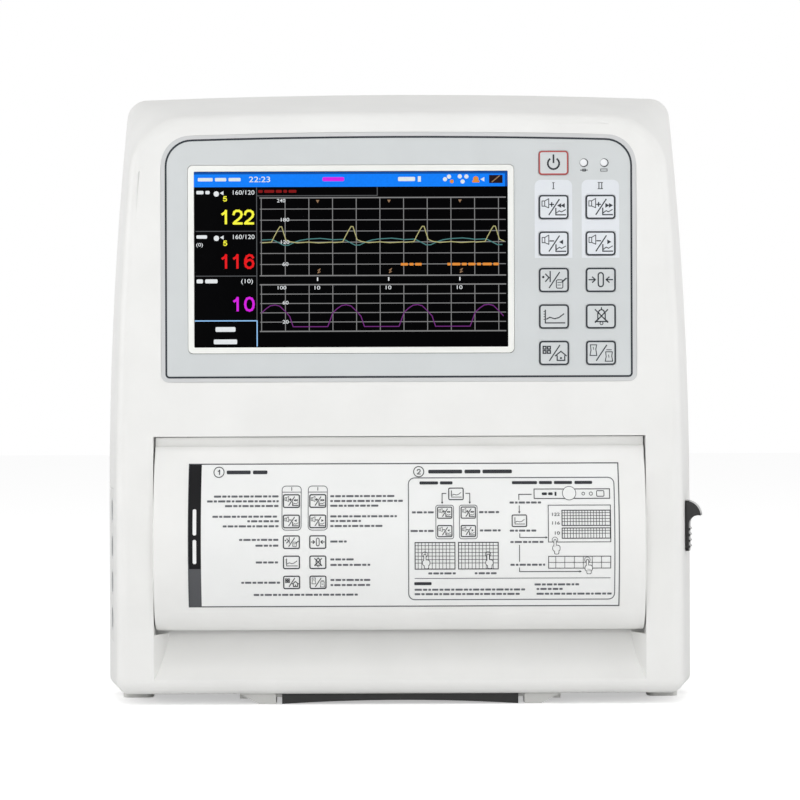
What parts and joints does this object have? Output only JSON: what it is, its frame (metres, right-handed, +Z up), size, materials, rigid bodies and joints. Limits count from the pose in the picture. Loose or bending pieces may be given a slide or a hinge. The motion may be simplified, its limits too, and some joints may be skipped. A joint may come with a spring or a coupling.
{
  "type": "cardiotocograph",
  "caption": "Upright bedside fetal monitor with display, keypad, fold-down chart printer door, side latch and folding foot.",
  "frame": {"origin": "on the support surface, under the middle of the housing", "axes": "+X to the right seen from the front, +Y to the rear, +Z up"},
  "size_m": [0.2996, 0.0939, 0.3055],
  "materials": {
    "housing_white": "matte",
    "door_white": "matte",
    "overlay_grey": "satin",
    "bezel_white": "gloss",
    "screen_glass": "gloss",
    "display_dark": "gloss",
    "key_grey": "satin",
    "lens_clear": "gloss",
    "sheet_steel": "satin",
    "board_green": "satin",
    "label_paper": "satin",
    "gear_nylon": "matte",
    "platen_rubber": "matte",
    "head_ceramic": "gloss",
    "sink_aluminium": "satin",
    "latch_black": "gloss",
    "socket_grey": "satin",
    "socket_black": "satin",
    "brass": "satin",
    "battery_blue": "satin",
    "foot_plastic": "matte",
    "grip_rubber": "matte",
    "pad_rubber": "matte"
  },
  "bodies": {
    "housing": {"front_housing": "housing_white", "rear_housing": "housing_white", "housing_screws": "sheet_steel", "control_overlay": "overlay_grey", "screen_bezel": "bezel_white", "screen_glass": "screen_glass", "lcd_module": "display_dark", "display_bracket": "sheet_steel", "main_board": "board_green", "key_board": "board_green", "key_domes": "sheet_steel", "indicator_lenses": "lens_clear", "drive_motor": "sheet_steel", "printer_chassis": "sheet_steel", "print_head": "head_ceramic", "head_sink": "sink_aluminium", "head_springs": "sheet_steel", "paper_tray": "door_white", "socket_panel": "socket_grey", "transducer_sockets": "socket_grey", "socket_contacts": "brass", "io_board": "board_green", "io_panel": "socket_grey", "network_socket": "socket_black", "usb_sockets": "sheet_steel", "supply_inlet": "socket_black", "battery_pack": "battery_blue", "battery_cover": "housing_white", "plate_inserts": "brass", "speaker": "socket_black", "foot_pins": "sheet_steel", "rubber_pads": "pad_rubber", "latch_spring": "sheet_steel"},
    "door": {"door_panel": "door_white", "door_frame": "door_white", "door_label": "label_paper", "door_hinge_pins": "sheet_steel", "door_keeper": "sheet_steel", "platen_bushes": "gear_nylon"},
    "platen": {"platen_roller": "platen_rubber", "platen_shaft": "sheet_steel", "platen_gear": "gear_nylon"},
    "idler": {"idler_gear": "gear_nylon"},
    "pinion": {"motor_pinion": "gear_nylon", "motor_shaft": "sheet_steel"},
    "latch": {"latch_button": "latch_black", "latch_hook": "sheet_steel"},
    "foot": {"foot_frame": "foot_plastic", "foot_grip": "grip_rubber"},
    "key_power": {"key_power": "key_grey"},
    "key_volume_up_one": {"key_volume_up_one": "key_grey"},
    "key_volume_up_two": {"key_volume_up_two": "key_grey"},
    "key_volume_down_one": {"key_volume_down_one": "key_grey"},
    "key_volume_down_two": {"key_volume_down_two": "key_grey"},
    "key_event_mark": {"key_event_mark": "key_grey"},
    "key_zero": {"key_zero": "key_grey"},
    "key_trend": {"key_trend": "key_grey"},
    "key_alarm_mute": {"key_alarm_mute": "key_grey"},
    "key_home": {"key_home": "key_grey"},
    "key_print": {"key_print": "key_grey"}
  },
  "joints": [
    {"name": "door_hinge", "type": "hinge", "parent": "housing", "child": "door", "pos_m": [0, -0.0315, 0.045], "axis": [1, 0, 0], "range_deg": [0, 90]},
    {"name": "platen_spin", "type": "hinge", "parent": "door", "child": "platen", "pos_m": [0, -0.0275, 0.1155], "axis": [1, 0, 0], "continuous": true},
    {"name": "idler_spin", "type": "hinge", "parent": "housing", "child": "idler", "pos_m": [-0.1142, -0.00986, 0.1155], "axis": [1, 0, 0], "continuous": true},
    {"name": "pinion_spin", "type": "hinge", "parent": "housing", "child": "pinion", "pos_m": [-0.1142, 0.00485, 0.12236], "axis": [1, 0, 0], "continuous": true},
    {"name": "latch_slide", "type": "slide", "parent": "housing", "child": "latch", "axis": [0, 0, 1], "range_m": [0, 0.006], "stiffness_N_per_m": 250, "springref_m": -0.004, "deforming": ["latch_spring"]},
    {"name": "foot_hinge", "type": "hinge", "parent": "housing", "child": "foot", "pos_m": [0, 0.038, 0.0096], "axis": [1, 0, 0], "range_deg": [0, 180]},
    {"name": "key_power_press", "type": "slide", "parent": "housing", "child": "key_power", "axis": [0, 1, 0], "range_m": [0, 0.0005], "stiffness_N_per_m": 900, "springref_m": -0.0005},
    {"name": "key_volume_up_one_press", "type": "slide", "parent": "housing", "child": "key_volume_up_one", "axis": [0, 1, 0], "range_m": [0, 0.0005], "stiffness_N_per_m": 900, "springref_m": -0.0005},
    {"name": "key_volume_up_two_press", "type": "slide", "parent": "housing", "child": "key_volume_up_two", "axis": [0, 1, 0], "range_m": [0, 0.0005], "stiffness_N_per_m": 900, "springref_m": -0.0005},
    {"name": "key_volume_down_one_press", "type": "slide", "parent": "housing", "child": "key_volume_down_one", "axis": [0, 1, 0], "range_m": [0, 0.0005], "stiffness_N_per_m": 900, "springref_m": -0.0005},
    {"name": "key_volume_down_two_press", "type": "slide", "parent": "housing", "child": "key_volume_down_two", "axis": [0, 1, 0], "range_m": [0, 0.0005], "stiffness_N_per_m": 900, "springref_m": -0.0005},
    {"name": "key_event_mark_press", "type": "slide", "parent": "housing", "child": "key_event_mark", "axis": [0, 1, 0], "range_m": [0, 0.0005], "stiffness_N_per_m": 900, "springref_m": -0.0005},
    {"name": "key_zero_press", "type": "slide", "parent": "housing", "child": "key_zero", "axis": [0, 1, 0], "range_m": [0, 0.0005], "stiffness_N_per_m": 900, "springref_m": -0.0005},
    {"name": "key_trend_press", "type": "slide", "parent": "housing", "child": "key_trend", "axis": [0, 1, 0], "range_m": [0, 0.0005], "stiffness_N_per_m": 900, "springref_m": -0.0005},
    {"name": "key_alarm_mute_press", "type": "slide", "parent": "housing", "child": "key_alarm_mute", "axis": [0, 1, 0], "range_m": [0, 0.0005], "stiffness_N_per_m": 900, "springref_m": -0.0005},
    {"name": "key_home_press", "type": "slide", "parent": "housing", "child": "key_home", "axis": [0, 1, 0], "range_m": [0, 0.0005], "stiffness_N_per_m": 900, "springref_m": -0.0005},
    {"name": "key_print_press", "type": "slide", "parent": "housing", "child": "key_print", "axis": [0, 1, 0], "range_m": [0, 0.0005], "stiffness_N_per_m": 900, "springref_m": -0.0005}
  ],
  "couplings": [
    {"joint": "idler_spin", "follows": "platen_spin", "ratio": -0.47059},
    {"joint": "pinion_spin", "follows": "platen_spin", "ratio": 1.3333}
  ]
}
